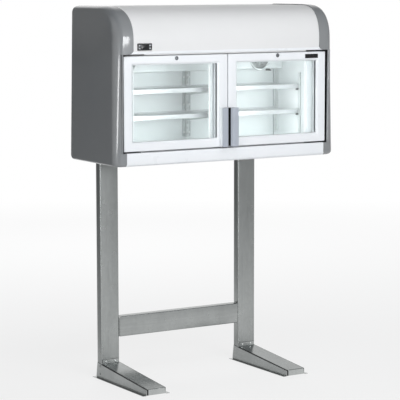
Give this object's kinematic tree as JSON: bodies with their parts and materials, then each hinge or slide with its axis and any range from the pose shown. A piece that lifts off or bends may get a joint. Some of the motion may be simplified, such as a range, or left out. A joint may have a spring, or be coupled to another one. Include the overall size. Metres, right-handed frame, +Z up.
{
  "type": "display top freezer",
  "caption": "Shallow glass-door display freezer with a curved canopy and rounded end caps, hung on a folded sheet-metal stand that straddles a chest freezer.",
  "frame": {"origin": "on the floor, under the middle of the whole object's box", "axes": "+X to the right seen from the front, +Y from the doors to the back, +Z up"},
  "size_m": [1.2, 0.515, 1.776],
  "materials": {
    "galvanised": "satin galvanised sheet",
    "zinc": "bright zinc",
    "white_sheet": "smooth satin paint",
    "foam": "closed-cell foam",
    "liner": "smooth satin",
    "grey_abs": "smooth gloss",
    "white_frame": "smooth satin",
    "glazing": "clear",
    "spacer": "matt mill",
    "seal": "matt",
    "black_strip": "matt",
    "handle_grey": "satin",
    "lock_metal": "satin chrome",
    "hinge_steel": "black satin",
    "shelf_white": "smooth satin paint",
    "upright_steel": "satin",
    "led_profile": "satin anodised",
    "led_lens": "frosted",
    "coil_metal": "bare fins and tube",
    "black_fan": "matt",
    "motor_metal": "satin",
    "black_enamel": "gloss enamel",
    "dark_metal": "satin",
    "black_case": "smooth gloss",
    "display": "smoked window",
    "key_grey": "matt"
  },
  "bodies": {
    "cabinet": {"post_left": "galvanised", "post_right": "galvanised", "crossbar": "galvanised", "foot_left": "galvanised", "foot_right": "galvanised", "stand_fasteners": "zinc", "outer_shell": "white_sheet", "foam_body": "foam", "liner": "liner", "centre_mullion": "white_frame", "end_cap_left": "grey_abs", "end_cap_right": "grey_abs", "canopy": "white_sheet", "top_cover": "white_sheet", "lower_panel": "white_sheet", "rear_grille": "white_sheet", "jamb_strips": "black_strip", "lock_keepers": "zinc", "hinge_brackets": "hinge_steel", "shelf_lower_left": "shelf_white", "shelf_lower_right": "shelf_white", "shelf_upper_left": "shelf_white", "shelf_upper_right": "shelf_white", "shelf_rails": "upright_steel", "slotted_uprights": "upright_steel", "led_housings": "led_profile", "led_diffusers": "led_lens", "evaporator_cover": "liner", "evaporator_coil": "coil_metal", "evaporator_fan_motors": "motor_metal", "temperature_sensor": "black_strip", "compressor": "black_enamel", "condenser": "dark_metal", "fan_shroud": "dark_metal", "evaporation_tray": "black_fan", "mains_inlet": "black_strip", "controller_case": "black_case", "controller_window": "display"},
    "door_left": {"door_frame_left": "white_frame", "door_glass_left": "glazing", "glass_spacer_left": "spacer", "door_seal_left": "seal", "handle_left": "handle_grey"},
    "door_right": {"door_frame_right": "white_frame", "door_glass_right": "glazing", "glass_spacer_right": "spacer", "door_seal_right": "seal", "handle_right": "handle_grey", "name_plate": "black_case"},
    "lock_left": {"lock_barrel_left": "lock_metal", "lock_cam_left": "zinc"},
    "lock_right": {"lock_barrel_right": "lock_metal", "lock_cam_right": "zinc"},
    "fan_left": {"evaporator_fan_left": "black_fan"},
    "fan_right": {"evaporator_fan_right": "black_fan"},
    "fan_condenser": {"condenser_fan": "black_fan"},
    "button_set": {"key_set": "key_grey"},
    "button_defrost": {"key_defrost": "key_grey"},
    "button_up": {"key_up": "key_grey"},
    "button_down": {"key_down": "key_grey"}
  },
  "joints": [
    {"name": "door_left_hinge", "type": "hinge", "parent": "cabinet", "child": "door_left", "pos_m": [-0.54, -0.2185, 1.3405], "axis": [0, 0, -1], "range_deg": [0, 100]},
    {"name": "door_right_hinge", "type": "hinge", "parent": "cabinet", "child": "door_right", "pos_m": [0.54, -0.2185, 1.3405], "axis": [0, 0, 1], "range_deg": [0, 100]},
    {"name": "lock_left_turn", "type": "hinge", "parent": "door_left", "child": "lock_left", "pos_m": [-0.275, -0.2105, 1.541], "axis": [0, -1, 0], "range_deg": [0, 90]},
    {"name": "lock_right_turn", "type": "hinge", "parent": "door_right", "child": "lock_right", "pos_m": [0.275, -0.2105, 1.541], "axis": [0, 1, 0], "range_deg": [0, 90]},
    {"name": "fan_left_spin", "type": "hinge", "parent": "cabinet", "child": "fan_left", "pos_m": [-0.371, 0.0955, 1.51], "axis": [0, 1, 0], "continuous": true},
    {"name": "fan_right_spin", "type": "hinge", "parent": "cabinet", "child": "fan_right", "pos_m": [0.371, 0.0955, 1.51], "axis": [0, 1, 0], "continuous": true},
    {"name": "fan_condenser_spin", "type": "hinge", "parent": "cabinet", "child": "fan_condenser", "pos_m": [0.16, 0.1305, 1.6772], "axis": [0, 1, 0], "continuous": true},
    {"name": "button_set_press", "type": "slide", "parent": "cabinet", "child": "button_set", "axis": [0, 1, 0], "range_m": [0, 0.0006], "stiffness_N_per_m": 1500},
    {"name": "button_defrost_press", "type": "slide", "parent": "cabinet", "child": "button_defrost", "axis": [0, 1, 0], "range_m": [0, 0.0006], "stiffness_N_per_m": 1500},
    {"name": "button_up_press", "type": "slide", "parent": "cabinet", "child": "button_up", "axis": [0, 1, 0], "range_m": [0, 0.0006], "stiffness_N_per_m": 1500},
    {"name": "button_down_press", "type": "slide", "parent": "cabinet", "child": "button_down", "axis": [0, 1, 0], "range_m": [0, 0.0006], "stiffness_N_per_m": 1500}
  ]
}
